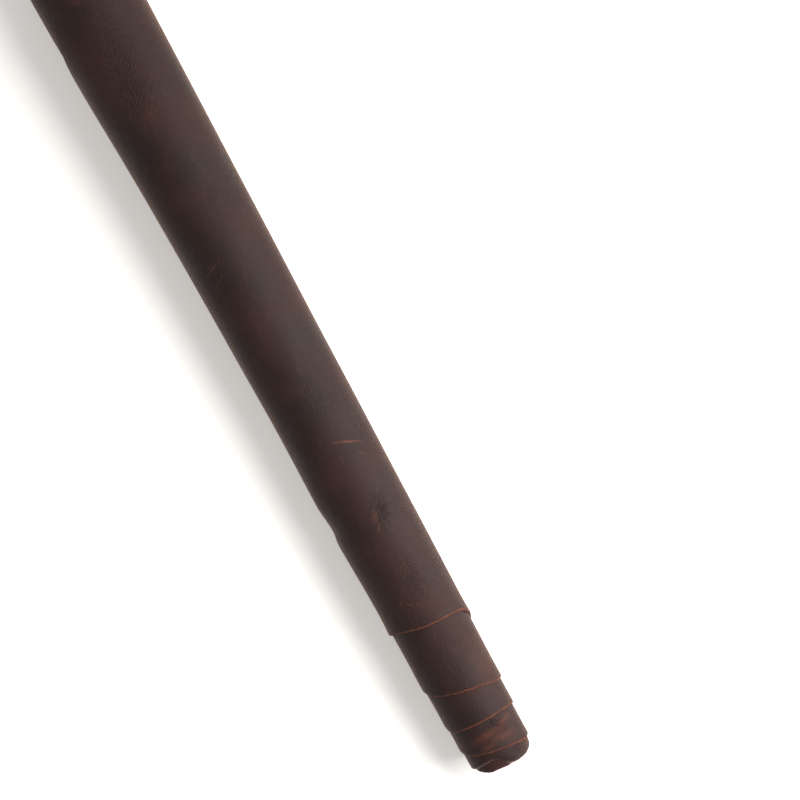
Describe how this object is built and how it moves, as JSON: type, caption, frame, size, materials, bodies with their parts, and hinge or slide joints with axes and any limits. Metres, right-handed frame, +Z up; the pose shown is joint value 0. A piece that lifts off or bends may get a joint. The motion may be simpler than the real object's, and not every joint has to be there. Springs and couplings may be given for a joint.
{
  "type": "brush roll case",
  "caption": "Brush roll case: a tight, tapering roll of dark oil-tanned leather with inner turns slid out at one end; its outer turn lifts and unrolls flat.",
  "frame": {"origin": "bottom centre of the object's bounding box, on the surface it rests on", "axes": "+X along the roll towards the end where the inner turns stick out, +Y towards the side the outer turn opens to, +Z up"},
  "size_m": [0.5386, 0.0572, 0.0503],
  "materials": {
    "pull_up_leather": "dark brown oil-tanned pull-up leather, waxed, scuffed to rust brown",
    "lining_leather": "thinner brown leather, flesh side out, matt",
    "waxed_thread": "waxed brown linen thread"
  },
  "bodies": {
    "roll": {"wrap_roll": "pull_up_leather", "pocket_panel": "lining_leather", "guard_flap": "lining_leather", "divider_stitching": "waxed_thread", "pocket_seam": "waxed_thread", "guard_seam": "waxed_thread"},
    "wrap_flap_01": {"wrap_flap_01": "pull_up_leather"},
    "wrap_flap_02": {"wrap_flap_02": "pull_up_leather"},
    "wrap_flap_03": {"wrap_flap_03": "pull_up_leather"},
    "wrap_flap_04": {"wrap_flap_04": "pull_up_leather"},
    "wrap_flap_05": {"wrap_flap_05": "pull_up_leather"},
    "wrap_flap_06": {"wrap_flap_06": "pull_up_leather"},
    "wrap_flap_07": {"wrap_flap_07": "pull_up_leather"},
    "wrap_flap_08": {"wrap_flap_08": "pull_up_leather"},
    "wrap_flap_09": {"wrap_flap_09": "pull_up_leather"},
    "wrap_flap_10": {"wrap_flap_10": "pull_up_leather"}
  },
  "joints": [
    {"name": "unroll_01", "type": "hinge", "parent": "roll", "child": "wrap_flap_01", "pos_m": [-0.02908, 0.00826, 0.0006], "axis": [-1, 0.0054, 0.0004], "range_deg": [0, 28]},
    {"name": "unroll_02", "type": "hinge", "parent": "wrap_flap_01", "child": "wrap_flap_02", "pos_m": [-0.03333, 0.01761, 0.00547], "axis": [-0.9999, 0.0112, 0.0034], "range_deg": [0, 28]},
    {"name": "unroll_03", "type": "hinge", "parent": "wrap_flap_02", "child": "wrap_flap_03", "pos_m": [-0.03723, 0.02364, 0.01421], "axis": [-0.9999, 0.0148, 0.0088], "range_deg": [0, 28]},
    {"name": "unroll_04", "type": "hinge", "parent": "wrap_flap_03", "child": "wrap_flap_04", "pos_m": [-0.04049, 0.02491, 0.0244], "axis": [-0.9998, 0.0156, 0.015], "range_deg": [0, 28]},
    {"name": "unroll_05", "type": "hinge", "parent": "wrap_flap_04", "child": "wrap_flap_05", "pos_m": [-0.04241, 0.02129, 0.03355], "axis": [-0.9997, 0.0134, 0.0206], "range_deg": [0, 28]},
    {"name": "unroll_06", "type": "hinge", "parent": "wrap_flap_05", "child": "wrap_flap_06", "pos_m": [-0.04353, 0.01222, 0.04117], "axis": [-0.9996, 0.0078, 0.0253], "range_deg": [0, 28]},
    {"name": "unroll_07", "type": "hinge", "parent": "wrap_flap_06", "child": "wrap_flap_07", "pos_m": [-0.04063, -0.00146, 0.04403], "axis": [-0.9996, -0.0006, 0.0271], "range_deg": [0, 28]},
    {"name": "unroll_08", "type": "hinge", "parent": "wrap_flap_07", "child": "wrap_flap_08", "pos_m": [-0.02175, -0.0146, 0.0399], "axis": [-0.9997, -0.0088, 0.0249], "range_deg": [0, 28]},
    {"name": "unroll_09", "type": "hinge", "parent": "wrap_flap_08", "child": "wrap_flap_09", "pos_m": [-0.00982, -0.02281, 0.03183], "axis": [-0.9997, -0.0141, 0.02], "range_deg": [0, 28]},
    {"name": "unroll_10", "type": "hinge", "parent": "wrap_flap_09", "child": "wrap_flap_10", "pos_m": [0.00004, -0.02576, 0.02253], "axis": [-0.9998, -0.016, 0.0142], "range_deg": [0, 28]}
  ],
  "couplings": [
    {"joint": "unroll_02", "follows": "unroll_01", "ratio": 1},
    {"joint": "unroll_03", "follows": "unroll_01", "ratio": 1},
    {"joint": "unroll_04", "follows": "unroll_01", "ratio": 1},
    {"joint": "unroll_05", "follows": "unroll_01", "ratio": 1},
    {"joint": "unroll_06", "follows": "unroll_01", "ratio": 1},
    {"joint": "unroll_07", "follows": "unroll_01", "ratio": 1},
    {"joint": "unroll_08", "follows": "unroll_01", "ratio": 1},
    {"joint": "unroll_09", "follows": "unroll_01", "ratio": 1},
    {"joint": "unroll_10", "follows": "unroll_01", "ratio": 1}
  ]
}
